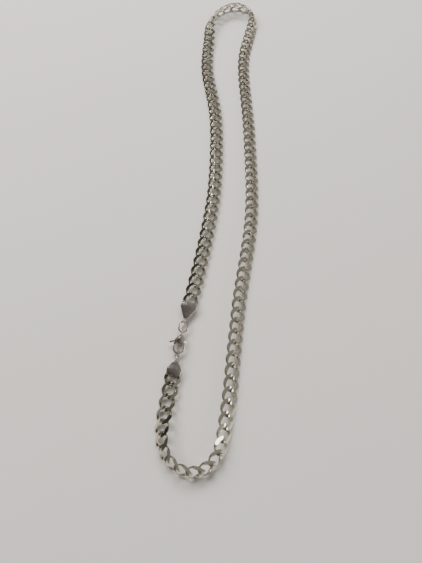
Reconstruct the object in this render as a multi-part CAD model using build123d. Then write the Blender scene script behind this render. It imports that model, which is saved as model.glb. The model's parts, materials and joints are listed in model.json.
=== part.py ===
"""Flat-cut curb chain necklace with a lobster clasp, fastened and laid on a flat surface.

Millimetres, +Z up, the chain's far end towards +Y. The origin is at the middle of the
bounding box, on the surface that the chain lies on.

The loop is a round trip that starts at the catch ring: the lower terminal, the lower left
links, the near bend, the right strand, the far bend, the left strand, the upper terminal,
the jump ring and the clasp. Each piece is drawn once about its own X axis, which points
along that trip, and is then placed between two pivots of the route.
"""
import os
from math import atan2, cos, degrees, hypot, radians, sin, sqrt, tan

from build123d import *

# links
WIRE = 1.3
LINK_REACH = 3.15  # centre of the link to the wire's centre at its end
LINK_SPREAD = 2.85  # centre of the link to the wire's centre at its side
END_TILT = 50.0  # slope of the wire where it rounds the end
SIDE_TILT = 32.0  # slope of the wire where it passes the side
LAND_HEIGHT = 0.95  # the narrow flat that the chain lies on, above the link's mid plane
LAND_HALF_WIDTH = 0.8
BEVEL = 16.0  # slope of the wide facets outside the land
PITCH = 4.8  # pivot to pivot where the chain is drawn out
BEND_PITCH = 4.65  # and in the two bends, where it lies slack
LINKS = 108  # free links; two more are soldered into the terminals
CORNER_TOLERANCE = 0.05  # of the coarse link that finds how low each link lies
CORNER_ANGLE = 0.45

# hardware
PLATE_HEIGHT = 2.2
POCKET_HEIGHT = 1.7
UPPER_CAP = 7.8
LOWER_CAP = 6.1
CAP_HALF_WIDTH = {UPPER_CAP: 3.65, LOWER_CAP: 3.15}
CAP_TIP_HALF = 0.9
CAP_FOLD = 2.4  # mouth to the fold line across the cap
NECK = 1.0  # cap tip to the centre of its loop
MOUTH_TO_LINK = 1.2
UPPER_LOOP = 0.9
LOWER_LOOP = 1.15
LOOP_WIRE = 0.35
JUMP_WIRE = 0.4
JUMP_HALF_LENGTH = 2.4
JUMP_HALF_WIDTH = 1.8
JUMP_SLACK = 0.1  # how much nearer its two neighbours are than the ring's full length
CATCH_RING = 1.5
CATCH_WIRE = 0.33
CATCH_TILT = 50.0
EYE_TO_HOOK = 9.2
HOOK_WIRE = 0.5
HOOK_TO_CATCH = 0.55
HARDWARE_HEIGHT = 1.5
CAP_MOUTH_TAPER = 0.35
CAP_TIP_HEIGHT = 1.5
CAP_LIP = 0.08
POCKET_GAP = 0.1
NECK_OVERLAP = 0.4
LEAF_START = 1.1
LEAF_TIP_HALF = 0.6
LEAF_TIP_HEIGHT = 1.2
LEAF_BULGE = 2.9
LEAF_BULGE_HALF = 2.3
LEAF_RIDGE = 3.4
LEAF_HEIGHT = 2.5
LEAF_END = 5.0
LEAF_HALF = 2.6
LEAF_END_HEIGHT = 1.9
HOOK_RADIUS = 2.1  # the hook's wire, about the middle of its mouth
HOOK_TIP = 6.5
RIVET_X = 3.5
RIVET_SIDE = 1.3
RIVET_RADIUS = 0.3
RIVET_GAP = 0.03
RIVET_LENGTH = 2.3
SLOT_START = 2.6
SLOT_END = 5.4
SLOT_DEPTH = 0.9
SLOT_HEIGHT = 1.0
TRIGGER_HEIGHT = 0.8
TRIGGER_HUB = 0.75
GATE_END = 5.45
GATE_WIDTH = 0.8
TAB_ROOT = 0.4
TAB_TIP = (1.5, -2.7)
TAB_WIDTH = 0.7
SPRING_RADIUS = 0.48
SPRING_WIRE = 0.08
SPRING_TURNS = (0.11, 0.29)

# grouping of the links into hinged sections
UPPER_SECTION = 2.19  # links to a section, on average
UPPER_HINGES = 17
FIRST_RIGHT = 12  # the first pivot that may end the near bend
CROSS_LINE_BIAS = 1.2  # a cross line meets the right strand this much nearer, on average
NEAR_BEND_NODES = 3

# route of the chain's centre line: x, y, and the roll of the links about it in degrees
ROUTE = [
    (-14.0, 42.5, 0),
    (-15.4, 34.0, 4),
    (-17.4, 24.0, 15),
    (-18.7, 16.0, 30),
    (-18.4, 9.0, 42),
    (-15.6, 3.8, 50),
    (-11.0, 0.6, 54),
    (-5.4, -0.1, 54),
    (-0.2, 2.3, 51),
    (3.2, 6.8, 45),
    (4.8, 13.0, 36),
    (6.1, 20.0, 30),
    (7.4, 28.0, 27),
    (8.9, 41.0, 26),
    (10.6, 55.0, 25),
    (12.6, 70.0, 24),
    (15.1, 84.0, 24),
    (17.5, 98.0, 23),
    (19.2, 112.0, 22),
    (20.0, 128.0, 21),
    (20.0, 150.0, 20),
    (19.8, 170.0, 19),
    (18.9, 190.0, 17),
    (18.4, 206.0, 17),
    (19.2, 220.0, 20),
    (21.8, 232.0, 25),
    (24.4, 243.0, 32),
    (25.6, 249.5, 40),
    (24.8, 255.5, 48),
    (21.4, 260.2, 56),
    (16.0, 262.0, 60),
    (10.4, 260.6, 62),
    (5.2, 256.8, 60),
    (1.4, 251.8, 52),
    (-0.6, 246.0, 34),
    (-0.8, 240.0, 16),
    (-1.0, 233.0, 6),
    (-1.9, 222.0, 0),
    (-2.2, 210.0, 0),
    (-1.0, 199.0, 0),
    (1.2, 185.0, 0),
    (2.7, 170.0, 0),
    (2.8, 150.0, 0),
    (1.8, 128.0, 0),
    (0.0, 113.0, 0),
    (-2.3, 99.0, 0),
    (-5.0, 85.0, 0),
    (-8.0, 71.0, 0),
    (-11.4, 57.0, 0),
]
SAMPLES = 60  # between two points of the route
NEAR_BEND_END = 15.0  # Y
FAR_BEND_START = 238.0  # Y
SETTLING = 30  # passes in which the chain sinks until its links lie on the surface

# lengths of the trip that follow from the above
TERMINAL_LENGTH = {cap: NECK + cap + MOUTH_TO_LINK + PITCH / 2 for cap in (UPPER_CAP, LOWER_CAP)}
JUMP_LENGTH = 2 * JUMP_HALF_LENGTH - JUMP_SLACK
CATCH_LENGTH = HOOK_TO_CATCH + CATCH_RING


# ---------------------------------------------------------------- route


def route_line():
    """The closed route as a fine polyline of (x, y, roll), by Catmull-Rom through ROUTE."""
    count = len(ROUTE)
    fine = []

    for start in range(count):
        knots = [ROUTE[(start + step) % count] for step in (-1, 0, 1, 2)]
        for sample in range(SAMPLES):
            t = sample / SAMPLES
            weights = (
                (-t + 2 * t**2 - t**3) / 2,
                (2 - 5 * t**2 + 3 * t**3) / 2,
                (t + 4 * t**2 - 3 * t**3) / 2,
                (-(t**2) + t**3) / 2,
            )
            fine.append(tuple(sum(w * k[axis] for w, k in zip(weights, knots)) for axis in range(3)))
    return fine


def step_along(line, place, length, scale):
    """The place on the line that is one straight step further on, as an index with a fraction."""
    count = len(line)

    def at(where):
        whole = int(where)
        part = where - whole
        ends = [line[(whole + k) % count] for k in (0, 1)]
        return [scale * (a + part * (b - a)) for a, b in zip(ends[0][:2], ends[1][:2])]

    start = at(place)
    low = place
    while True:
        high = int(low) + 1.0
        here = at(high)
        if hypot(here[0] - start[0], here[1] - start[1]) >= length:
            break
        low = high
    for _ in range(30):
        middle = (low + high) / 2
        here = at(middle)
        if hypot(here[0] - start[0], here[1] - start[1]) >= length:
            high = middle
        else:
            low = middle
    return (low + high) / 2


def walk(line, scale):
    """Places of the pivots, one after each piece of the trip, for a route of this scale."""
    places = [0.0]
    places.append(step_along(line, places[-1], TERMINAL_LENGTH[LOWER_CAP], scale))
    for _ in range(LINKS):
        y = scale * line[int(places[-1]) % len(line)][1]
        pitch = PITCH if NEAR_BEND_END < y < FAR_BEND_START else BEND_PITCH
        places.append(step_along(line, places[-1], pitch, scale))
    for length in (TERMINAL_LENGTH[UPPER_CAP], JUMP_LENGTH, EYE_TO_HOOK, CATCH_LENGTH):
        places.append(step_along(line, places[-1], length, scale))
    return places


def closed_walk(line):
    """The scale at which the trip ends where it began, and the pivots' places."""
    low, high = 0.95, 1.05
    for _ in range(40):
        scale = (low + high) / 2
        places = walk(line, scale)
        if places[-1] > len(line):
            low = scale
        else:
            high = scale
    return scale, places


def interpolate(line, place, axis):
    whole = int(place)
    first, second = (line[(whole + k) % len(line)][axis] for k in (0, 1))
    return first + (place - whole) * (second - first)


def build_pivots(line, link):
    """Pivots of the whole trip, the roll of the piece after each, and the route's scale."""
    scale, places = closed_walk(line)
    rolls = [interpolate(line, (a + b) / 2, 2) for a, b in zip(places, places[1:])]
    plan = [[scale * interpolate(line, place, axis) for axis in range(2)] for place in places]
    pivots = [Vector(x, y, HARDWARE_HEIGHT) for x, y in plan]
    corners = sorted({tuple(corner) for corner in link.tessellate(CORNER_TOLERANCE, CORNER_ANGLE)[0]})
    for _ in range(SETTLING):
        settle(pivots, rolls, corners)
    return pivots, rolls, scale


def settle(pivots, rolls, corners):
    """Move each link pivot half way to where the lower of its two links touches the surface."""
    gaps = [lowest(corners, pivots[k], pivots[k + 1], rolls[k]) for k in range(1, LINKS + 1)]
    around = [gaps[0]] + [min(pair) for pair in zip(gaps, gaps[1:])] + [gaps[-1]]
    for k, gap in enumerate(around, 1):
        pivots[k] = pivots[k] - Vector(0, 0, gap / 2)


def lowest(corners, start, end, roll):
    """Height of the lowest corner of a link that is placed between two pivots."""
    along = (end - start).normalized()
    level = hypot(along.X, along.Y)
    turn = radians(roll)
    heights = (along.Z, level * sin(turn), level * cos(turn))
    drop = min(sum(size * height for size, height in zip(corner, heights)) for corner in corners)
    return (start.Z + end.Z) / 2 + drop


def frame_between(start, end, roll, at):
    """A location at a fraction of the way, X towards end, Z up and then rolled about X."""
    along = (end - start).normalized()
    side = Vector(0, 0, 1).cross(along).normalized()
    up = along.cross(side)
    turn = radians(roll)
    face = up * cos(turn) - side * sin(turn)
    return Plane(origin=start + (end - start) * at, x_dir=along, z_dir=face).location


# ---------------------------------------------------------------- link


def meeting_point(start, heading, end, end_heading):
    """Where two arcs of equal tangent length, one from each end, join smoothly."""
    span = end - start
    a = 2 * (1 - heading.dot(end_heading))
    b = 2 * span.dot(heading + end_heading)
    tangent = (-b + sqrt(b * b + 4 * a * span.dot(span))) / (2 * a)
    return (start + heading * tangent + end - end_heading * tangent) * 0.5


def wire_solid(start, heading, end):
    """Round wire along the arc that leaves start along heading and reaches end."""
    path = Edge.make_tangent_arc(start, heading, end)
    section = Plane(origin=start, z_dir=heading) * Circle(WIRE / 2)
    return sweep(section, path=path)


def make_link():
    """One link: round wire bent to a saddle-shaped ring, then ground flat on both faces."""
    end = Vector(LINK_REACH, 0, 0)
    side = Vector(0, LINK_SPREAD, 0)
    end_heading = Vector(0, cos(radians(END_TILT)), sin(radians(END_TILT)))
    side_heading = Vector(-cos(radians(SIDE_TILT)), 0, -sin(radians(SIDE_TILT)))
    joint = meeting_point(end, end_heading, side, side_heading)
    quarter = [wire_solid(end, end_heading, joint), wire_solid(side, side_heading * -1, joint)]
    ring = [Rot(*turn) * piece for turn in ((0, 0, 0), (180, 0, 0), (0, 180, 0), (0, 0, 180)) for piece in quarter]
    whole = ring[0].fuse(*ring[1:])
    return whole & grinding_slab()


def grinding_slab():
    """What the grinding leaves: a bar along X with a narrow land and two wide bevels each side."""
    outer = LINK_SPREAD + WIRE
    drop = (outer - LAND_HALF_WIDTH) * tan(radians(BEVEL))
    corners = [
        (LAND_HALF_WIDTH, LAND_HEIGHT),
        (outer, LAND_HEIGHT - drop),
        (outer, drop - LAND_HEIGHT),
        (LAND_HALF_WIDTH, -LAND_HEIGHT),
        (-LAND_HALF_WIDTH, -LAND_HEIGHT),
        (-outer, drop - LAND_HEIGHT),
        (-outer, LAND_HEIGHT - drop),
        (-LAND_HALF_WIDTH, LAND_HEIGHT),
    ]
    outline = Plane.YZ * Polygon(*corners, align=None)
    return extrude(outline, amount=LINK_REACH + WIRE, both=True)


def soldered_link(link):
    """The last link of the chain: its end inside the terminal is ground down to the pocket's height."""
    inside = Box(LINK_REACH + WIRE, 3 * LINK_SPREAD, PITCH, align=(Align.MAX, Align.CENTER, Align.CENTER))
    kept = Box(LINK_REACH + WIRE, 3 * LINK_SPREAD, POCKET_HEIGHT, align=(Align.MAX, Align.CENTER, Align.CENTER))
    mouth = Pos(-MOUTH_TO_LINK, 0, 0)
    return link - mouth * inside + (link & mouth * kept)


# ---------------------------------------------------------------- hardware


def standing_loop(radius, wire):
    """A loop of wire standing on edge, its hole along Y, centred on the origin."""
    return Rot(90, 0, 0) * Torus(radius, wire)


def make_terminal(cap, loop_radius):
    """Terminal cap with its loop at the origin and its mouth towards +X."""
    widest = CAP_HALF_WIDTH[cap]
    mouth = NECK + cap
    fold = mouth - CAP_FOLD
    outline = Polygon(
        (NECK, CAP_TIP_HALF),
        (fold, widest),
        (mouth, widest - CAP_MOUTH_TAPER),
        (mouth, CAP_MOUTH_TAPER - widest),
        (fold, -widest),
        (NECK, -CAP_TIP_HALF),
        align=None,
    )
    profile = Plane.XZ * Polygon(
        (NECK, CAP_TIP_HEIGHT / 2),
        (fold, PLATE_HEIGHT / 2),
        (mouth, PLATE_HEIGHT / 2 - CAP_LIP),
        (mouth, CAP_LIP - PLATE_HEIGHT / 2),
        (fold, -PLATE_HEIGHT / 2),
        (NECK, -CAP_TIP_HEIGHT / 2),
        align=None,
    )
    body = extrude(outline, amount=PLATE_HEIGHT, both=True) & extrude(profile, amount=2 * widest, both=True)
    pocket_depth = LINK_REACH + WIRE / 2 - MOUTH_TO_LINK + POCKET_GAP
    pocket = Box(pocket_depth, 3 * widest, POCKET_HEIGHT, align=(Align.MAX, Align.CENTER, Align.CENTER))
    neck_start = loop_radius
    neck = Box(NECK - neck_start + NECK_OVERLAP, 2 * LOOP_WIRE, 2 * LOOP_WIRE)
    neck = Pos((NECK + neck_start + NECK_OVERLAP) / 2, 0, 0) * neck
    return body - Pos(mouth, 0, 0) * pocket + neck + standing_loop(loop_radius, LOOP_WIRE)


def make_jump_ring():
    """Flat oval ring of round wire, long along X."""
    straight = JUMP_HALF_LENGTH - JUMP_HALF_WIDTH
    ends = [Pos(straight, 0, 0) * half_torus(JUMP_HALF_WIDTH, JUMP_WIRE)]
    ends.append(Pos(-straight, 0, 0) * Rot(0, 0, 180) * half_torus(JUMP_HALF_WIDTH, JUMP_WIRE))
    side = Rot(0, 90, 0) * Cylinder(JUMP_WIRE, 2 * straight)
    sides = [Pos(0, y, 0) * side for y in (-JUMP_HALF_WIDTH, JUMP_HALF_WIDTH)]
    return ends[0] + ends[1] + sides[0] + sides[1]


def half_torus(radius, wire):
    """Half a ring of wire in the XY plane, on the +X side."""
    half = Torus(radius, wire) & Pos(radius + wire, 0, 0) * Box(2 * (radius + wire), 4 * radius, 4 * wire)
    return half


def make_catch_ring():
    """The ring that the clasp hooks, leaning to lie on the surface. Its near side is at the origin."""
    return Pos(HOOK_TO_CATCH, 0, 0) * Rot(CATCH_TILT, 0, 0) * Torus(CATCH_RING, CATCH_WIRE)


def clasp_leaf():
    """The clasp's solid upper half, seen from above a leaf and from the side a long wedge."""
    edge = Line((LEAF_START, LEAF_TIP_HALF), (LEAF_START, -LEAF_TIP_HALF))
    right = ThreePointArc((LEAF_START, -LEAF_TIP_HALF), (LEAF_BULGE, -LEAF_BULGE_HALF), (LEAF_END, -LEAF_HALF))
    end = Line((LEAF_END, -LEAF_HALF), (LEAF_END, LEAF_HALF))
    left = ThreePointArc((LEAF_END, LEAF_HALF), (LEAF_BULGE, LEAF_BULGE_HALF), (LEAF_START, LEAF_TIP_HALF))
    outline = make_face([edge, right, end, left])
    profile = Plane.XZ * Polygon(
        (LEAF_START, LEAF_TIP_HEIGHT / 2),
        (LEAF_RIDGE, LEAF_HEIGHT / 2),
        (LEAF_END, LEAF_END_HEIGHT / 2),
        (LEAF_END, -LEAF_END_HEIGHT / 2),
        (LEAF_RIDGE, -LEAF_HEIGHT / 2),
        (LEAF_START, -LEAF_TIP_HEIGHT / 2),
        align=None,
    )
    return extrude(outline, amount=LEAF_HEIGHT, both=True) & extrude(profile, amount=2 * LEAF_HALF, both=True)


def make_clasp_body():
    """Lobster clasp without its trigger: eye at the origin, leaf, and the hook's wire."""
    bend_x = EYE_TO_HOOK - HOOK_RADIUS
    path = Wire(
        [
            Edge.make_line((LEAF_END - HOOK_WIRE, HOOK_RADIUS), (bend_x, HOOK_RADIUS)),
            Edge.make_three_point_arc((bend_x, HOOK_RADIUS), (EYE_TO_HOOK, 0), (bend_x, -HOOK_RADIUS)),
            Edge.make_line((bend_x, -HOOK_RADIUS), (HOOK_TIP, -HOOK_RADIUS)),
        ]
    )
    section = Plane(origin=path @ 0, z_dir=path % 0) * Circle(HOOK_WIRE)
    hook = sweep(section, path=path)
    tip = Pos(HOOK_TIP, -HOOK_RADIUS, 0) * Sphere(HOOK_WIRE)
    neck = Pos(LEAF_START, 0, 0) * Box(2 * NECK_OVERLAP, 2 * LEAF_TIP_HALF, LEAF_TIP_HEIGHT)
    body = clasp_leaf() + neck + hook + tip + standing_loop(UPPER_LOOP, LOOP_WIRE)
    slot = Box(SLOT_END - SLOT_START, LEAF_HALF + SLOT_DEPTH, SLOT_HEIGHT, align=(Align.MIN, Align.MAX, Align.CENTER))
    hole = Cylinder(RIVET_RADIUS, 2 * LEAF_HEIGHT)
    return body - Pos(SLOT_START, SLOT_DEPTH - RIVET_SIDE, 0) * slot - Pos(RIVET_X, -RIVET_SIDE, 0) * hole


def make_trigger():
    """The gate on its rivet, with the thumb tab that sticks out beside the clasp."""
    hub = Cylinder(TRIGGER_HUB, TRIGGER_HEIGHT)
    reach_x = GATE_END - RIVET_X
    reach_y = RIVET_SIDE - HOOK_RADIUS
    gate = bar_between((0, 0), (reach_x, reach_y), GATE_WIDTH)
    tab = bar_between((TAB_ROOT, 0), TAB_TIP, TAB_WIDTH)
    pin_hole = Cylinder(RIVET_RADIUS + RIVET_GAP, 2 * TRIGGER_HEIGHT)
    recess = Cylinder(SPRING_RADIUS + 2 * SPRING_WIRE, TRIGGER_HEIGHT, align=(Align.CENTER, Align.CENTER, Align.MIN))
    lever = hub + gate + tab - pin_hole - recess
    return Pos(RIVET_X, -RIVET_SIDE, 0) * lever


def bar_between(start, end, width):
    """A flat bar with round ends, as thick as the trigger."""
    length = hypot(end[0] - start[0], end[1] - start[1])
    angle = degrees(atan2(end[1] - start[1], end[0] - start[0]))
    shape = extrude(SlotCenterToCenter(length, width), amount=TRIGGER_HEIGHT / 2, both=True)
    return Pos(*start) * Rot(0, 0, angle) * Pos(length / 2, 0, 0) * shape


def make_rivet():
    return Pos(RIVET_X, -RIVET_SIDE, 0) * Cylinder(RIVET_RADIUS, RIVET_LENGTH)


def make_spring():
    """Coil of the return spring round the rivet, in the recess of the trigger."""
    turns = [Pos(RIVET_X, -RIVET_SIDE, z) * Torus(SPRING_RADIUS, SPRING_WIRE) for z in SPRING_TURNS]
    return Compound(children=turns)


# ---------------------------------------------------------------- assembly


def place_trip(pivots, rolls, link):
    """Every piece of the trip in its place: links in order, and the hardware by name."""
    last = LINKS + 1
    links = [frame_between(pivots[k], pivots[k + 1], rolls[k], 0.5) * link for k in range(1, last)]
    lower = frame_between(pivots[0], pivots[1], 0, 0)
    upper = frame_between(pivots[last + 1], pivots[last], 0, 0)
    clasp = frame_between(pivots[last + 2], pivots[last + 3], 0, 0)
    ring = frame_between(pivots[last + 1], pivots[last + 2], 0, 0.5)
    catch = frame_between(pivots[last + 3], pivots[last + 4], 0, 0)
    end_link = soldered_link(link)
    hardware = {
        "lower_terminal": lower * make_terminal(LOWER_CAP, LOWER_LOOP),
        "lower_end_link": lower * Pos(NECK + LOWER_CAP + MOUTH_TO_LINK, 0, 0) * end_link,
        "upper_terminal": upper * make_terminal(UPPER_CAP, UPPER_LOOP),
        "upper_end_link": upper * Pos(NECK + UPPER_CAP + MOUTH_TO_LINK, 0, 0) * end_link,
        "jump_ring": ring * make_jump_ring(),
        "catch_ring": catch * make_catch_ring(),
        "clasp_body": clasp * make_clasp_body(),
        "clasp_trigger": clasp * make_trigger(),
        "clasp_rivet": clasp * make_rivet(),
        "clasp_spring": clasp * make_spring(),
    }
    return links, hardware


def hinge_pairs(pivots):
    """Left and right pivots that share one cross line, from the near bend to the far bend."""
    last = LINKS + 1
    lower_left = [5, 3, 1, 0]
    clasp_side = [last + 3, last + 2, last + 1]
    upper_left = [last - round(step * UPPER_SECTION) for step in range(UPPER_HINGES)]
    left = lower_left + clasp_side + upper_left
    furthest = max(range(last), key=lambda k: pivots[k].Y)
    right_side = range(FIRST_RIGHT, furthest)
    pairs = []
    taken = 0
    for pivot in left:
        y = pivots[pivot].Y - CROSS_LINE_BIAS
        nearest = min((k for k in right_side if k > taken), key=lambda k: abs(pivots[k].Y - y))
        taken = nearest
        pairs.append((pivot, nearest))
    return pairs


def chain_sections(pairs, links):
    """Node names to lists of links: the near bend, then left and right sections to the far bend."""
    last = LINKS + 1
    nodes = {}

    def take(name, first, end):
        chosen = links[first - 1 : end - 1]
        if chosen:
            nodes[name] = chosen

    first_left, first_right = pairs[0]
    bend = range(first_left, first_right)
    third = len(bend) / NEAR_BEND_NODES
    for part in range(NEAR_BEND_NODES):
        start = first_left + round(part * third)
        take(f"near_bend_links_{part + 1}", start, first_left + round((part + 1) * third))
    top_left, top_right = pairs[-1]
    far_middle = (top_left + top_right + 1) // 2
    for number, ((left, right), (next_left, next_right)) in enumerate(zip(pairs, pairs[1:]), 1):
        take(f"right_links_{number:02d}", right, next_right)
        if next_left < left <= last:
            take(f"left_links_{number:02d}", max(next_left, 1), min(left, last))
    take("far_bend_links_right", top_right, far_middle)
    take("far_bend_links_left", far_middle, top_left)
    return nodes


def build():
    """All nodes in the row's frame, and the facts about the pivots that the joints need."""
    link = make_link()
    pivots, rolls, scale = build_pivots(route_line(), link)
    links, hardware = place_trip(pivots, rolls, link)
    pairs = hinge_pairs(pivots)
    nodes = {name: Compound(children=group) for name, group in chain_sections(pairs, links).items()}
    nodes.update(hardware)
    box = Compound(children=[shape.moved(Location()) for shape in nodes.values()]).bounding_box()
    dip = min(0.0, *(shape.bounding_box().min.Z for shape in hardware.values()))  # the free links touch 0
    shift = Vector(-(box.min.X + box.max.X) / 2, -(box.min.Y + box.max.Y) / 2, -dip)
    placed = {name: Pos(*shift) * shape for name, shape in nodes.items()}
    return placed, [pivot + shift for pivot in pivots], rolls, pairs, scale


def main():
    nodes, pivots, rolls, pairs, scale = build()
    os.makedirs("parts", exist_ok=True)
    for name, shape in nodes.items():
        shape.label = name
        export_step(shape, f"parts/{name}.step")
    print(len(nodes), "nodes, route scale", round(scale, 4), ", hinge lines", len(pairs))


if __name__ == "__main__":
    main()
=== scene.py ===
"""Looks of the flat-cut curb chain necklace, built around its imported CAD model.

Every link, terminal, ring and clasp piece is a finer mesh of its own, in the place and at the
size of the CAD solid that it stands for. Shapes are worked out in millimetres, and mm() turns
them into metres. The links' places are read from the CAD solids, the hardware's from the joints.
A link's wire is a little wider inwards, along the link's sides, than in the CAD.
"""
import json
from math import cos, pi, radians, sin, sqrt

import bpy
import numpy as np
from mathutils import Matrix, Vector


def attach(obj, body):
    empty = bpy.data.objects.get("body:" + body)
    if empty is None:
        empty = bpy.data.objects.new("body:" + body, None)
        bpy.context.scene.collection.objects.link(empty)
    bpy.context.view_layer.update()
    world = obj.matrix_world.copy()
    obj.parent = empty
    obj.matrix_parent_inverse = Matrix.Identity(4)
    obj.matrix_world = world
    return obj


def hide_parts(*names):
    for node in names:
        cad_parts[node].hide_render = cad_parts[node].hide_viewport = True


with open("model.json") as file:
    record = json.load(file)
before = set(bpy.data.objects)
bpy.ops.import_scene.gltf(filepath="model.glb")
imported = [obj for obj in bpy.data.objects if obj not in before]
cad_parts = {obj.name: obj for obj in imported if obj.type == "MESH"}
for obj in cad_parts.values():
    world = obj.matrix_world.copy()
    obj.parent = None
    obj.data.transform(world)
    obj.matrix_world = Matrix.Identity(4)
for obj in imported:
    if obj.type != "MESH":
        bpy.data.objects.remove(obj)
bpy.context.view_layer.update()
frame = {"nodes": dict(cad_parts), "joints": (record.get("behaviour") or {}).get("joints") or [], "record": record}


def mm(value):
    return value / 1000.0


# ---------------------------------------------------------------- dimensions, in millimetres

WIRE_RADIUS = 0.65
LINK_REACH = 3.15
LINK_SPREAD = 2.85
END_TILT = radians(50)
SIDE_TILT = radians(32)
LAND_HEIGHT = 0.95
LAND_HALF_WIDTH = 0.8
BEVEL = radians(16)
SIDE_SPREAD = 0.6  # the wire is squeezed this much wider inwards at the link's sides
SIDE_SPREAD_END = 2.3  # and no wider beyond this X
EDGE_SOFTNESS = 0.02  # the ground facets' edges are rounded about this much
ARC_STEPS = 14  # along each of a link's eight arcs
WIRE_STEPS = 40  # round a link's wire

POCKET_HALF_HEIGHT = 0.84
MOUTH_TO_LINK = 1.2
NECK = 1.0
UPPER_CAP = 7.8
LOWER_CAP = 6.1
CAP_HALF_WIDTH = {UPPER_CAP: 3.65, LOWER_CAP: 3.15}
CAP_TIP_HALF = 0.9
CAP_FOLD = 2.4
CAP_MOUTH_TAPER = 0.35
CAP_TIP_HALF_HEIGHT = 0.75
CAP_HALF_HEIGHT = 1.1
CAP_LIP = 0.08
CAP_CREASE = 0.12  # how long the turns of the cap's outline are
CAP_BOW = 0.10
CAP_WALL = 0.38
CAP_CORNER = 0.3
UPPER_LOOP = 0.9
LOWER_LOOP = 1.15
LOOP_WIRE = 0.35
BAR_HALF = 0.34
BAR_CORNER = 0.12

JUMP_WIRE = 0.4
JUMP_HALF_LENGTH = 2.4
JUMP_HALF_WIDTH = 1.8
CATCH_RING = 1.5
CATCH_WIRE = 0.33
CATCH_TILT = radians(50)
HOOK_TO_CATCH = 0.55

EYE_TO_HOOK = 9.2
HOOK_WIRE = 0.5
HOOK_RADIUS = 2.1
HOOK_TIP = 6.5
LEAF_START = 1.1
LEAF_RIDGE = 3.4
LEAF_END = 5.0
LEAF_HALF = 2.6
LEAF_TIP_HALF = 0.6
LEAF_HALF_HEIGHT = 1.25
LEAF_CREST_START = 0.62
LEAF_CREST_FALL = 0.28
LEAF_END_ROUND = 0.12
RIVET_X = 3.5
RIVET_SIDE = 1.3
RIVET_RADIUS = 0.3
RIVET_HALF_LENGTH = 1.15
SLOT_START = 2.6
SLOT_END = 5.4
SLOT_DEPTH = 0.9
SLOT_HEIGHT = 1.0
TRIGGER_HALF_HEIGHT = 0.4
TRIGGER_HUB = 0.75
GATE_END = 5.45
GATE_WIDTH = 0.8
TAB_TIP = (1.5, -2.7)
TAB_WIDTH = 0.7
SPRING_RADIUS = 0.48
SPRING_WIRE = 0.08
SPRING_START = 0.09
SPRING_RISE = 0.22
SPRING_TURNS = 2.5

CRISP_EDGE = radians(32)  # edges that turn more than this are shaded sharp

# How sheltered from polishing each surface is, 0 to 1.
LINK_SIDE_SHELTER = 0.25  # the inside of a link's sides; the inside of its ends has 1
CAP_SHELTER = 0.15
POCKET_SHELTER = 0.85
LEAF_SHELTER = 0.12
HOOK_SHELTER = 0.1
TRIGGER_SHELTER = 0.15


# ---------------------------------------------------------------- mesh helpers


def mesh_object(name, points, faces):
    """A smooth-shaded mesh from points in millimetres, with crisp edges."""
    mesh = bpy.data.meshes.new(name)
    mesh.from_pydata([tuple(mm(c) for c in point) for point in points], [], faces)
    mesh.validate()
    mesh.shade_smooth()
    mesh.set_sharp_from_angle(angle=CRISP_EDGE)
    piece = bpy.data.objects.new(name, mesh)
    bpy.context.scene.collection.objects.link(piece)
    return piece


def grid_faces(rows, columns, rows_close, caps=False, offset=0):
    """Quads over rows of points, each row closed on itself; the rows close too, or end in caps."""
    faces = []
    for row in range(rows if rows_close else rows - 1):
        following = (row + 1) % rows
        for column in range(columns):
            beside = (column + 1) % columns
            corners = ((row, column), (row, beside), (following, beside), (following, column))
            faces.append(tuple(offset + r * columns + c for r, c in corners))
    if caps:
        faces.append(tuple(offset + c for c in reversed(range(columns))))
        faces.append(tuple(offset + (rows - 1) * columns + c for c in range(columns)))
    return faces


def unit(vector):
    return vector / np.linalg.norm(vector, axis=-1, keepdims=True)


def tube(line, radii, up, closed=False, steps=24):
    """Points and faces of a round wire along a line; up is never along the line."""
    line = np.asarray(line, float)
    ahead = np.roll(line, -1, axis=0) - np.roll(line, 1, axis=0)
    if not closed:
        ahead[0] = line[1] - line[0]
        ahead[-1] = line[-1] - line[-2]
    along = unit(ahead)
    across = unit(np.cross(np.broadcast_to(up, along.shape), along))
    over = np.cross(along, across)
    turns = np.linspace(0, 2 * pi, steps, endpoint=False)
    radii = np.broadcast_to(radii, len(line))
    ring = np.cos(turns)[:, None] * across[:, None] + np.sin(turns)[:, None] * over[:, None]
    points = line[:, None] + radii[:, None, None] * ring
    return points.reshape(-1, 3), grid_faces(len(line), steps, closed, caps=not closed)


def ring_line(radius, steps=64, half_straight=0.0):
    """A closed ring in the XY plane, drawn out along X by a straight on each side."""
    turns = np.linspace(0, 2 * pi, steps, endpoint=False)
    shift = half_straight * np.sign(np.round(np.cos(turns), 9))
    return np.stack([radius * np.cos(turns) + shift, radius * np.sin(turns), 0 * turns], axis=1)


def joined(name, *parts):
    """One object from several sets of points and faces."""
    points = []
    faces = []
    for part_points, part_faces in parts:
        faces += [tuple(len(points) + corner for corner in face) for face in part_faces]
        points += [tuple(point) for point in part_points]
    return mesh_object(name, points, faces)


def turned(part, matrix):
    points, faces = part
    return [tuple(matrix @ Vector(point)) for point in points], faces


def rounded_box_section(half_width, half_height, corner, steps=5):
    """A rounded rectangle in (y, z), counter-clockwise."""
    corner = min(corner, 0.95 * half_width, 0.95 * half_height)
    points = []
    for quarter, (side, top) in enumerate(((1, 1), (-1, 1), (-1, -1), (1, -1))):
        for step in range(steps + 1):
            turn = (quarter + step / steps) * pi / 2
            y = side * (half_width - corner) + corner * cos(turn)
            z = top * (half_height - corner) + corner * sin(turn)
            points.append((y, z))
    return points


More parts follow.
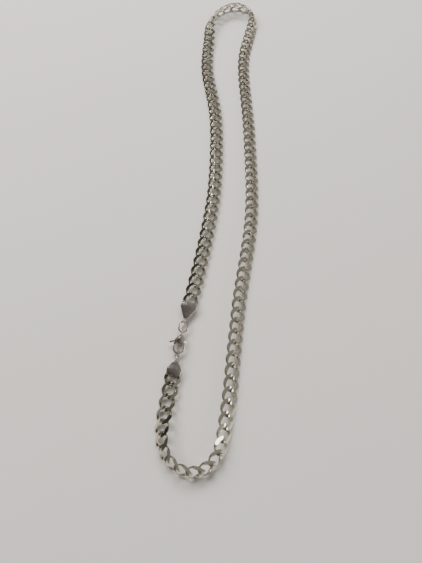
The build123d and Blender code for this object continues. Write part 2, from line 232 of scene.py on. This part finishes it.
def subtract(piece, *cutters):
    """Cut closed meshes out of a closed mesh, and delete them."""
    for cutter in cutters:
        modifier = piece.modifiers.new("cut", "BOOLEAN")
        modifier.operation = "DIFFERENCE"
        modifier.solver = "EXACT"
        modifier.object = cutter
    bpy.context.view_layer.update()
    depsgraph = bpy.context.evaluated_depsgraph_get()
    cut = bpy.data.meshes.new_from_object(piece.evaluated_get(depsgraph))
    piece.modifiers.clear()
    piece.data = cut
    cut.shade_smooth()
    cut.set_sharp_from_angle(angle=CRISP_EDGE)
    for cutter in cutters:
        bpy.data.objects.remove(cutter)
    return piece


# ---------------------------------------------------------------- materials


def material(name):
    """An empty node material: its tree, its shader and a function that adds nodes."""
    made = bpy.data.materials.new(name)
    made.use_nodes = True
    tree = made.node_tree
    shader = tree.nodes["Principled BSDF"]

    def node(kind, **inputs):
        new = tree.nodes.new(kind)
        for key, value in inputs.items():
            new.inputs[key.replace("_", " ")].default_value = value
        return new

    return made, tree, shader, node


def ramp(node, places):
    """Set a colour ramp's stops from {position: colour}."""
    stops = node.color_ramp.elements
    while len(stops) < len(places):
        stops.new(0.5)
    for stop, (position, colour) in zip(stops, sorted(places.items())):
        stop.position = position
        stop.color = (*colour, 1.0)


def silver(name, clean, tarnish, smooth, worn, scratch_strength):
    """Polished silver: cloudy tarnish in the recesses, fine scratches, and polish that varies."""
    made, tree, shader, node = material(name)
    link = tree.links.new
    shader.inputs["Metallic"].default_value = 1.0
    place = node("ShaderNodeTexCoord")
    random = node("ShaderNodeObjectInfo")
    shifted = node("ShaderNodeVectorMath")
    shifted.operation = "ADD"
    link(place.outputs["Object"], shifted.inputs[0])
    link(random.outputs["Random"], shifted.inputs[1])

    cloud = node("ShaderNodeTexNoise", Scale=900.0, Detail=5.0, Roughness=0.6)
    link(shifted.outputs[0], cloud.inputs["Vector"])
    recess = node("ShaderNodeAttribute")
    recess.attribute_name = "recess"
    mixed = node("ShaderNodeMath")
    mixed.operation = "MULTIPLY"
    link(recess.outputs["Fac"], mixed.inputs[0])
    link(cloud.outputs["Fac"], mixed.inputs[1])
    spread = node("ShaderNodeMath")
    spread.operation = "ADD"
    spread.use_clamp = True
    patches = node("ShaderNodeTexNoise", Scale=220.0, Detail=3.0)
    link(shifted.outputs[0], patches.inputs["Vector"])
    light = node("ShaderNodeMapRange")
    light.inputs["From Min"].default_value = 0.5
    light.inputs["From Max"].default_value = 0.8
    light.inputs["To Max"].default_value = 0.35
    link(patches.outputs["Fac"], light.inputs["Value"])
    link(mixed.outputs[0], spread.inputs[0])
    link(light.outputs[0], spread.inputs[1])
    colour = node("ShaderNodeValToRGB")
    hazy = tuple(0.75 * c + 0.25 * t for c, t in zip(clean, tarnish))
    ramp(colour, {0.0: clean, 0.35: hazy, 1.0: tarnish})
    link(spread.outputs[0], colour.inputs["Fac"])
    link(colour.outputs["Color"], shader.inputs["Base Color"])

    polish = node("ShaderNodeMapRange")
    polish.inputs["To Min"].default_value = smooth
    polish.inputs["To Max"].default_value = worn
    link(spread.outputs[0], polish.inputs["Value"])
    link(polish.outputs[0], shader.inputs["Roughness"])

    stretch = node("ShaderNodeMapping", Rotation=(0.0, 0.0, 0.7), Scale=(900.0, 9000.0, 2500.0))
    link(shifted.outputs[0], stretch.inputs["Vector"])
    lines = node("ShaderNodeTexNoise", Scale=1.0, Detail=2.0)
    link(stretch.outputs[0], lines.inputs["Vector"])
    dents = node("ShaderNodeTexNoise", Scale=1100.0, Detail=2.0)
    link(shifted.outputs[0], dents.inputs["Vector"])
    height = node("ShaderNodeMix")
    height.inputs["Factor"].default_value = 0.35
    link(lines.outputs["Fac"], height.inputs["A"])
    link(dents.outputs["Fac"], height.inputs["B"])
    bump = node("ShaderNodeBump", Strength=scratch_strength, Distance=mm(0.03))
    link(height.outputs["Result"], bump.inputs["Height"])
    link(bump.outputs["Normal"], shader.inputs["Normal"])
    return made


CHAIN_SILVER = silver(
    "chain_silver",
    clean=(0.74, 0.70, 0.59),
    tarnish=(0.23, 0.195, 0.12),
    smooth=0.10,
    worn=0.34,
    scratch_strength=0.18,
)
HARDWARE_SILVER = silver(
    "hardware_silver",
    clean=(0.88, 0.80, 0.73),
    tarnish=(0.36, 0.28, 0.24),
    smooth=0.24,
    worn=0.42,
    scratch_strength=0.24,
)
SPRING_METAL = silver(
    "clasp_spring_metal",
    clean=(0.58, 0.58, 0.58),
    tarnish=(0.28, 0.26, 0.24),
    smooth=0.25,
    worn=0.42,
    scratch_strength=0.10,
)


def finish_piece(piece, matrix, body, slot, made, *nodes):
    piece.data.transform(matrix)
    piece.data.materials.clear()
    piece.data.materials.append(made)
    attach(piece, body)
    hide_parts(*nodes)
    return piece


def set_recess(piece, shelter):
    """How sheltered each point is from polishing, 0 to 1, for the tarnish; or one value for all."""
    attribute = piece.data.attributes.new("recess", "FLOAT", "POINT")
    values = np.full(len(piece.data.vertices), shelter, np.float32)
    attribute.data.foreach_set("value", values)


# ---------------------------------------------------------------- the links


def arc_line(start, heading, end, steps):
    """Points of the arc that leaves start along heading and reaches end, without the last one."""
    chord = end - start
    span = np.linalg.norm(chord)
    half = np.arccos(np.clip(chord @ heading / span, -1, 1))
    inward = unit(chord / span - cos(half) * heading)
    radius = span / (2 * sin(half))
    turns = 2 * half * np.arange(steps) / steps
    return start + radius * (np.outer(np.sin(turns), heading) + np.outer(1 - np.cos(turns), inward))


def link_line():
    """The closed centre line of a link's wire: a quarter of two arcs, turned to the other three."""
    end = np.array([LINK_REACH, 0, 0])
    side = np.array([0, LINK_SPREAD, 0])
    out = np.array([0, cos(END_TILT), sin(END_TILT)])
    back = np.array([-cos(SIDE_TILT), 0, -sin(SIDE_TILT)])
    span = side - end
    a = 2 * (1 - out @ back)
    b = 2 * span @ (out + back)
    tangent = (-b + sqrt(b * b + 4 * a * span @ span)) / (2 * a)
    meeting = (end + out * tangent + side - back * tangent) / 2
    first = arc_line(end, out, meeting, ARC_STEPS)
    second = arc_line(side, -back, meeting, ARC_STEPS)[::-1]
    quarter = np.concatenate([first, [meeting], second])
    over_y = quarter[:-1][::-1] * (-1, 1, -1)
    half = np.concatenate([quarter, over_y[:-1]])
    return np.concatenate([half, half * (-1, -1, 1)])


def grind(points):
    """Press the wire's points in to the land and the two bevels of each face, with soft edges."""
    lean = LAND_HALF_WIDTH * sin(BEVEL) + LAND_HEIGHT * cos(BEVEL)
    planes = [
        ((0, 0, 1), LAND_HEIGHT),
        ((0, sin(BEVEL), cos(BEVEL)), lean),
        ((0, -sin(BEVEL), cos(BEVEL)), lean),
    ]
    for (x, y, z), reach in planes:
        for normal in (np.array([x, y, z]), np.array([x, y, -z])):
            over = points @ normal - reach
            kept = -EDGE_SOFTNESS * np.logaddexp(0, -over / EDGE_SOFTNESS)
            points = points - (over - kept)[..., None] * normal
    return points


def link_parts():
    """A link's points, faces and the shelter of each point."""
    line = link_line()
    ahead = unit(np.roll(line, -1, axis=0) - np.roll(line, 1, axis=0))
    outward = unit(line * (1, 1, 0))
    over = unit(np.cross(ahead, outward))
    outward = np.cross(over, ahead)
    turns = np.linspace(0, 2 * pi, WIRE_STEPS, endpoint=False)
    wider = 1 + SIDE_SPREAD * np.clip(1 - (line[:, :1] / SIDE_SPREAD_END) ** 2, 0, 1) ** 2
    widths = np.where(np.cos(turns) < 0, wider, 1) * np.cos(turns)
    ring = widths[:, :, None] * outward[:, None] + np.sin(turns)[None, :, None] * over[:, None]
    points = grind(line[:, None] + WIRE_RADIUS * ring).reshape(-1, 3)
    shelter = np.clip(-np.cos(turns), 0, 1) * np.clip(
        np.abs(line[:, :1]) / LINK_REACH, LINK_SIDE_SHELTER, 1
    )
    return points, grid_faces(len(line), WIRE_STEPS, True), shelter.reshape(-1)


def closed_solids(mesh):
    """The triangles of each separate solid in a CAD node's mesh."""
    mesh.calc_loop_triangles()
    corners = np.empty(3 * len(mesh.loop_triangles), np.int64)
    mesh.loop_triangles.foreach_get("vertices", corners)
    places = np.empty(3 * len(mesh.vertices))
    mesh.vertices.foreach_get("co", places)
    places = 1000 * places.reshape(-1, 3)
    _, welded = np.unique(np.round(places, 4), axis=0, return_inverse=True)
    triangles = welded.reshape(-1)[corners].reshape(-1, 3)
    label = np.arange(welded.max() + 1)
    settled = False
    while not settled:
        fresh = label.copy()
        lowest = label[triangles].min(axis=1)
        np.minimum.at(fresh, triangles.reshape(-1), np.repeat(lowest, 3))
        fresh = fresh[fresh]
        settled = bool((fresh == label).all())
        label = fresh
    owner = label[triangles[:, 0]]
    return [places[corners.reshape(-1, 3)[owner == name]] for name in np.unique(owner)]


def solid_frame(triangles):
    """A matrix in metres: a solid's centroid and its long, middle and short axes."""
    a, b, c = (triangles[:, k] for k in range(3))
    weights = np.einsum("ij,ij->i", a, np.cross(b, c))
    volume = weights.sum() / 6
    centre = (weights[:, None] * (a + b + c)).sum(axis=0) / 24 / volume
    total = a + b + c
    spread = sum(np.einsum("i,ij,ik->jk", weights, v, v) for v in (a, b, c, total)) / 120 / volume
    _, axes = np.linalg.eigh(spread - np.outer(centre, centre))
    long, middle = axes[:, 2], axes[:, 1]
    matrix = Matrix.Identity(4)
    for column, axis in enumerate((long, middle, np.cross(long, middle))):
        for row in range(3):
            matrix[row][column] = axis[row]
    matrix.translation = [mm(value) for value in centre]
    return matrix


BODIES = frame["record"]["behaviour"]["bodies"]
BODY_OF = {node: body for body, nodes in BODIES.items() for node in nodes}


def add_links():
    """Every free link, in the place of its CAD solid."""
    points, faces, shelter = link_parts()
    pattern = mesh_object("link_pattern", points, faces)
    set_recess(pattern, shelter)
    mesh = pattern.data
    bpy.data.objects.remove(pattern)
    count = 0
    for node, carrier in sorted(frame["nodes"].items()):
        if "_links_" not in node:
            continue
        for triangles in closed_solids(carrier.data):
            count += 1
            piece = bpy.data.objects.new(f"link_{count:03d}", mesh.copy())
            bpy.context.scene.collection.objects.link(piece)
            place = solid_frame(triangles)
            finish_piece(piece, place, BODY_OF[node], "chain_silver", CHAIN_SILVER, node)
    bpy.data.meshes.remove(mesh)


# ---------------------------------------------------------------- the hardware


JOINT = {joint["name"]: joint for joint in frame["joints"]}


def pivot(name):
    return Vector(JOINT[name]["pos_m"])


def frame_between(start, end):
    """A matrix at start with X towards end and Z up."""
    along = (end - start).normalized()
    side = Vector((0, 0, 1)).cross(along).normalized()
    matrix = Matrix((along, side, along.cross(side))).transposed().to_4x4()
    matrix.translation = start
    return matrix


LOWER_LOOP_PLACE = pivot("left_fold_04")
HOOK_PLACE = pivot("left_fold_05")
EYE_PLACE = pivot("left_fold_06")
UPPER_LOOP_PLACE = pivot("left_fold_07")
LOWER = frame_between(LOWER_LOOP_PLACE, pivot("left_fold_03"))
UPPER = frame_between(UPPER_LOOP_PLACE, pivot("left_fold_08"))
CLASP = frame_between(EYE_PLACE, HOOK_PLACE)
JUMP = frame_between(UPPER_LOOP_PLACE, EYE_PLACE)
JUMP.translation = (UPPER_LOOP_PLACE + EYE_PLACE) / 2
CATCH = frame_between(HOOK_PLACE, LOWER_LOOP_PLACE)


def placed(piece, matrix, node, made=HARDWARE_SILVER, slot="hardware_silver"):
    return finish_piece(piece, matrix, BODY_OF[node], slot, made, node)


def standing_loop(radius):
    """A loop of wire on edge, its hole along Y."""
    flat = tube(ring_line(radius), LOOP_WIRE, (0, 0, 1), closed=True)
    return turned(flat, Matrix.Rotation(pi / 2, 3, "X"))


def cap_shell(cap):
    """The cap outside from its tip to its mouth, and back along the walls of its pocket."""
    widest = CAP_HALF_WIDTH[cap]
    mouth = NECK + cap
    fold = mouth - CAP_FOLD
    top = CAP_HALF_HEIGHT
    outside = [
        (NECK, 0.55 * CAP_TIP_HALF, 0.6 * CAP_TIP_HALF_HEIGHT),
        (NECK + CAP_CREASE, 0.9 * CAP_TIP_HALF, 0.92 * CAP_TIP_HALF_HEIGHT),
        (NECK + 2.5 * CAP_CREASE, CAP_TIP_HALF + CAP_CREASE, CAP_TIP_HALF_HEIGHT + 0.02),
    ]
    slope_start = outside[-1]
    for share in (0.25, 0.5, 0.75, 0.95):
        x = slope_start[0] + share * (fold - slope_start[0])
        width = slope_start[1] + share * (widest - slope_start[1])
        bow = CAP_BOW * sin(pi * share)
        height = slope_start[2] + share * (top - 0.02 - slope_start[2]) - 0.4 * bow
        outside.append((x, width + bow, height))
    outside += [
        (fold + CAP_CREASE, widest - 0.02, top),
        (mouth - 0.9, widest - 0.6 * CAP_MOUTH_TAPER, top - 0.4 * CAP_LIP),
        (mouth - CAP_CREASE, widest - CAP_MOUTH_TAPER, top - CAP_LIP),
        (mouth, widest - CAP_MOUTH_TAPER - 0.1, top - 2 * CAP_LIP),
    ]
    depth = LINK_REACH + WIRE_RADIUS - MOUTH_TO_LINK
    inside = [
        (mouth - 0.04, widest - CAP_MOUTH_TAPER - CAP_WALL + 0.06, POCKET_HALF_HEIGHT + 0.05),
        (mouth - 0.2, widest - CAP_MOUTH_TAPER - CAP_WALL, POCKET_HALF_HEIGHT),
        (mouth - depth, 0.9 * (widest - CAP_WALL), POCKET_HALF_HEIGHT),
    ]
    stations = outside + inside
    points = []
    for number, (x, width, height) in enumerate(stations):
        corner = CAP_CORNER if number < len(outside) else 0.5 * CAP_CORNER
        points += [(x, y, z) for y, z in rounded_box_section(width, height, corner)]
    columns = len(points) // len(stations)
    return points, grid_faces(len(stations), columns, False, caps=True)


def neck_bar(loop_radius):
    """The short flat neck between a loop and the cap's tip or the clasp's leaf."""
    stations = [
        (loop_radius, BAR_HALF, BAR_HALF),
        (0.5 * (loop_radius + NECK) + 0.1, BAR_HALF, BAR_HALF),
        (NECK + 0.4, 0.6, 0.5),
    ]
    points = []
    for x, half_width, half_height in stations:
        section = rounded_box_section(half_width, half_height, BAR_CORNER)
        points += [(x, y, z) for y, z in section]
    return points, grid_faces(len(stations), len(points) // len(stations), False, caps=True)


def add_terminal(name, matrix, cap, loop):
    parts = [cap_shell(cap), standing_loop(loop)]
    if loop < NECK + 0.3:
        parts.append(neck_bar(loop))
    piece = joined(name, *parts)
    heights = np.array([vertex.co.z for vertex in piece.data.vertices]) * 1000
    lengths = np.array([vertex.co.x for vertex in piece.data.vertices]) * 1000
    inside = (np.abs(heights) < POCKET_HALF_HEIGHT + 0.02) & (lengths > NECK + cap - 4)
    set_recess(piece, np.where(inside, POCKET_SHELTER, CAP_SHELTER))
    placed(piece, matrix, name)


def add_end_link(name, matrix, cap):
    """The soldered link: inside the mouth its wire is ground down to the pocket's height."""
    points, faces, shelter = link_parts()
    inside = np.clip((-MOUTH_TO_LINK + 0.1 - points[:, 0]) / 0.25, 0, 1)
    limit = LAND_HEIGHT + (POCKET_HALF_HEIGHT - LAND_HEIGHT) * inside
    points[:, 2] = np.clip(points[:, 2], -limit, limit)
    piece = mesh_object(name, points, faces)
    set_recess(piece, shelter)
    place = matrix @ Matrix.Translation((mm(NECK + cap + MOUTH_TO_LINK), 0, 0))
    placed(piece, place, name, CHAIN_SILVER, "chain_silver")


def add_rings():
    line = ring_line(JUMP_HALF_WIDTH, 72, JUMP_HALF_LENGTH - JUMP_HALF_WIDTH)
    piece = joined("jump_ring", tube(line, JUMP_WIRE, (0, 0, 1), closed=True, steps=28))
    placed(piece, JUMP, "jump_ring")
    line = ring_line(CATCH_RING)
    piece = joined("catch_ring", tube(line, CATCH_WIRE, (0, 0, 1), closed=True, steps=28))
    lean = Matrix.Translation((mm(HOOK_TO_CATCH), 0, 0)) @ Matrix.Rotation(CATCH_TILT, 4, "X")
    placed(piece, CATCH @ lean, "catch_ring", CHAIN_SILVER)


def leaf():
    """The clasp's solid half: a pointed leaf from above, with a centre ridge on both faces."""
    stations = 22
    across = 28
    points = []
    for station in range(stations):
        share = station / (stations - 1)
        x = LEAF_START + share * (LEAF_END - LEAF_START)
        fullness = sin(pi / 2 * min(1.0, 1.12 * share)) ** 0.85
        half = LEAF_TIP_HALF + (LEAF_HALF - LEAF_TIP_HALF) * fullness
        rise = min(1.0, (x - LEAF_START) / (LEAF_RIDGE - LEAF_START))
        crest = LEAF_CREST_START + (LEAF_HALF_HEIGHT - 0.02 - LEAF_CREST_START) * sin(pi / 2 * rise)
        fall = max(0.0, (x - LEAF_RIDGE) / (LEAF_END - LEAF_RIDGE))
        crest -= LEAF_CREST_FALL * fall * fall
        if station in (0, stations - 1):
            half -= LEAF_END_ROUND
            crest -= 0.1
        for step in range(across):
            turn = 2 * pi * step / across
            y = half * cos(turn)
            slope = abs(sin(turn))
            ridge = crest * (0.86 * slope**0.72 + 0.14 * slope**6)
            points.append((x, y, ridge if sin(turn) >= 0 else -ridge))
    return points, grid_faces(stations, across, False, caps=True)


def hook():
    """The hook's wire: both legs, the round end, and a tapering tip that the gate meets."""
    bend = EYE_TO_HOOK - HOOK_RADIUS
    turns = np.linspace(pi / 2, -pi / 2, 25)
    round_end = HOOK_RADIUS * np.stack([np.cos(turns), np.sin(turns), 0 * turns], axis=1)
    round_end[:, 0] += bend
    start = [(x, HOOK_RADIUS, 0) for x in np.linspace(LEAF_END - HOOK_WIRE, bend, 8)[:-1]]
    tip = HOOK_TIP - HOOK_WIRE
    ends = (bend - 0.2, HOOK_TIP, tip + 0.3, tip + 0.14, tip + 0.04, tip)
    end = [(x, -HOOK_RADIUS, 0) for x in ends]
    line = np.concatenate([start, round_end, end])
    radii = np.full(len(line), HOOK_WIRE)
    radii[-4:] *= (0.97, 0.82, 0.5, 0.1)
    return tube(line, radii, (0, 0, 1), steps=24)


def box_part(low, high):
    sides = list(zip(low, high))
    corners = [(x, y, z) for x in sides[0] for y in sides[1] for z in sides[2]]
    faces = [(0, 1, 3, 2), (4, 6, 7, 5), (0, 4, 5, 1), (2, 3, 7, 6), (0, 2, 6, 4), (1, 5, 7, 3)]
    return corners, faces


def add_clasp_body():
    body = joined("clasp_leaf", leaf())
    low = (SLOT_START, -LEAF_HALF - 1, -SLOT_HEIGHT / 2)
    high = (SLOT_END, SLOT_DEPTH - RIVET_SIDE, SLOT_HEIGHT / 2)
    subtract(body, joined("slot_cutter", box_part(low, high)))
    set_recess(body, LEAF_SHELTER)
    placed(body, CLASP, "clasp_body")
    wire = joined("clasp_hook", hook(), standing_loop(UPPER_LOOP), neck_bar(UPPER_LOOP))
    set_recess(wire, HOOK_SHELTER)
    placed(wire, CLASP, "clasp_body")


def round_rivet(radius, turns, z):
    """Points round the rivet's axis, in the clasp's frame."""
    x = RIVET_X + radius * np.cos(turns)
    y = radius * np.sin(turns) - RIVET_SIDE
    return np.stack([x, y, np.broadcast_to(z, turns.shape)], axis=1)


def add_rivet():
    """A pin with its two heads rounded."""
    ends = ((0.0, 0.5), (0.06, 0.9), (0.14, 1.0))
    profile = [(inset - RIVET_HALF_LENGTH, share) for inset, share in ends]
    profile += [(-z, share) for z, share in reversed(profile)]
    turns = np.linspace(0, 2 * pi, 24, endpoint=False)
    points = np.concatenate([round_rivet(share * RIVET_RADIUS, turns, z) for z, share in profile])
    faces = grid_faces(len(profile), len(turns), False, caps=True)
    placed(mesh_object("clasp_rivet", points, faces), CLASP, "clasp_rivet")


def add_spring():
    turns = np.linspace(0, 2 * pi * SPRING_TURNS, 90)
    coil = round_rivet(SPRING_RADIUS, turns, SPRING_START + SPRING_RISE * turns / turns[-1])
    spring = joined("clasp_spring", tube(coil, SPRING_WIRE, (0, 0, 1), steps=10))
    placed(spring, CLASP, "clasp_spring", SPRING_METAL, "clasp_spring_metal")


def bar_outline(start, end, width, steps=10):
    """The outline of a flat bar with round ends."""
    start, end = np.array(start, float), np.array(end, float)
    heading = np.arctan2(*(end - start)[::-1])
    points = []
    for centre, base in ((end, heading - pi / 2), (start, heading + pi / 2)):
        for turn in base + np.linspace(0, pi, steps):
            points.append(tuple(centre + width / 2 * np.array([np.cos(turn), np.sin(turn)])))
    return points


def slab(outline, half_height, edge=0.08):
    """A flat plate from an outline, with a small round along both rims."""
    outline = np.array(outline)
    centre = outline.mean(axis=0)
    levels = [(-half_height, edge), (edge - half_height, 0.0)]
    levels += [(-z, inset) for z, inset in reversed(levels)]
    points = []
    for z, inset in levels:
        inward = unit(centre - outline)
        points += [(x, y, z) for x, y in outline + inset * inward]
    return points, grid_faces(len(levels), len(outline), False, caps=True)


def add_trigger():
    """Gate, hub and thumb tab, as one flat lever with softened rims."""
    turns = np.linspace(0, 2 * pi, 40, endpoint=False)
    hub = TRIGGER_HUB * np.stack([np.cos(turns), np.sin(turns)], axis=1)
    gate = bar_outline((0, 0), (GATE_END - RIVET_X, RIVET_SIDE - HOOK_RADIUS), GATE_WIDTH)
    tab = bar_outline((0.4, 0), TAB_TIP, TAB_WIDTH)
    slabs = [slab(outline, TRIGGER_HALF_HEIGHT) for outline in (hub, gate, tab)]
    piece = joined("clasp_trigger", *slabs)
    piece.data.transform(Matrix.Translation((mm(RIVET_X), mm(-RIVET_SIDE), 0)))
    set_recess(piece, TRIGGER_SHELTER)
    placed(piece, CLASP, "clasp_trigger")


# ---------------------------------------------------------------- floor, light and camera


def add_floor():
    bpy.ops.mesh.primitive_plane_add(size=4.0, location=(0, 0, 0))
    floor = bpy.context.object
    floor.name = "floor"
    made, tree, shader, node = material("pale_floor")
    shader.inputs["Roughness"].default_value = 0.5
    shader.inputs["Specular IOR Level"].default_value = 0.3
    mottle = node("ShaderNodeTexNoise", Scale=35.0, Detail=3.0)
    colour = node("ShaderNodeValToRGB")
    ramp(colour, {0.3: (0.685, 0.665, 0.630), 0.7: (0.705, 0.690, 0.660)})
    tree.links.new(mottle.outputs["Fac"], colour.inputs["Fac"])
    tree.links.new(colour.outputs["Color"], shader.inputs["Base Color"])
    floor.data.materials.append(made)


def add_light(name, place, size, power, colour, mirrored=True):
    """A rectangular softbox that faces the origin, and shows in polished metal or not."""
    data = bpy.data.lights.new(name, "AREA")
    data.shape = "RECTANGLE"
    data.size, data.size_y = size
    data.energy = power
    data.color = colour
    light = bpy.data.objects.new(name, data)
    light.visible_glossy = mirrored
    bpy.context.scene.collection.objects.link(light)
    light.location = place
    light.rotation_euler = (Vector() - Vector(place)).to_track_quat("-Z", "Y").to_euler()


def add_lights():
    """Softboxes for the floor, which don't show in the silver, and small lamps for its glints."""
    add_light("key", (-0.75, 0.45, 0.62), (0.5, 0.5), 12.5, (1.0, 0.975, 0.93), mirrored=False)
    add_light("back", (0.0, 1.0, 0.75), (1.1, 0.35), 22.0, (1.0, 0.94, 0.93), mirrored=False)
    add_light("right", (0.8, -0.1, 0.55), (0.22, 0.4), 1.8, (1.0, 0.98, 0.95))
    add_light("glint", (-0.35, 0.75, 0.9), (0.12, 0.12), 1.2, (1.0, 0.98, 0.95))


def add_dome():
    """A dim sky that the silver mirrors: even low down, and overhead darker on the left."""
    world = bpy.data.worlds.new("studio")
    bpy.context.scene.world = world
    world.use_nodes = True
    tree = world.node_tree
    background = tree.nodes["Background"]
    place = tree.nodes.new("ShaderNodeTexCoord")
    split = tree.nodes.new("ShaderNodeSeparateXYZ")
    tree.links.new(place.outputs["Generated"], split.inputs[0])

    def smooth_step(axis, start, end, low=0.0, high=1.0):
        step = tree.nodes.new("ShaderNodeMapRange")
        step.interpolation_type = "SMOOTHSTEP"
        limits = {"From Min": start, "From Max": end, "To Min": low, "To Max": high}
        for key, value in limits.items():
            step.inputs[key].default_value = value
        tree.links.new(split.outputs[axis], step.inputs["Value"])
        return step.outputs[0]

    blend = tree.nodes.new("ShaderNodeMix")
    blend.inputs["A"].default_value = 0.3
    tree.links.new(smooth_step("X", -0.35, 0.45, 0.04, 0.27), blend.inputs["B"])
    tree.links.new(smooth_step("Z", 0.15, 0.75), blend.inputs["Factor"])
    tree.links.new(blend.outputs["Result"], background.inputs["Strength"])
    background.inputs["Color"].default_value = (1.0, 0.975, 0.95, 1.0)


CAMERA_PLACE = (mm(-3.18), mm(-130.55), mm(172))
CAMERA_PITCH = radians(65.8)  # below the horizontal
LENS = 27.2
SENSOR = 36.0


def add_camera():
    data = bpy.data.cameras.new("camera")
    data.lens = LENS
    data.sensor_width = SENSOR
    data.clip_start = 0.005
    camera = bpy.data.objects.new("camera", data)
    bpy.context.scene.collection.objects.link(camera)
    camera.location = CAMERA_PLACE
    camera.rotation_euler = (pi / 2 - CAMERA_PITCH, 0, 0)
    bpy.context.scene.camera = camera


add_links()
add_terminal("lower_terminal", LOWER, LOWER_CAP, LOWER_LOOP)
add_terminal("upper_terminal", UPPER, UPPER_CAP, UPPER_LOOP)
add_end_link("lower_end_link", LOWER, LOWER_CAP)
add_end_link("upper_end_link", UPPER, UPPER_CAP)
add_rings()
add_clasp_body()
add_rivet()
add_spring()
add_trigger()
add_floor()
add_lights()
add_dome()
add_camera()
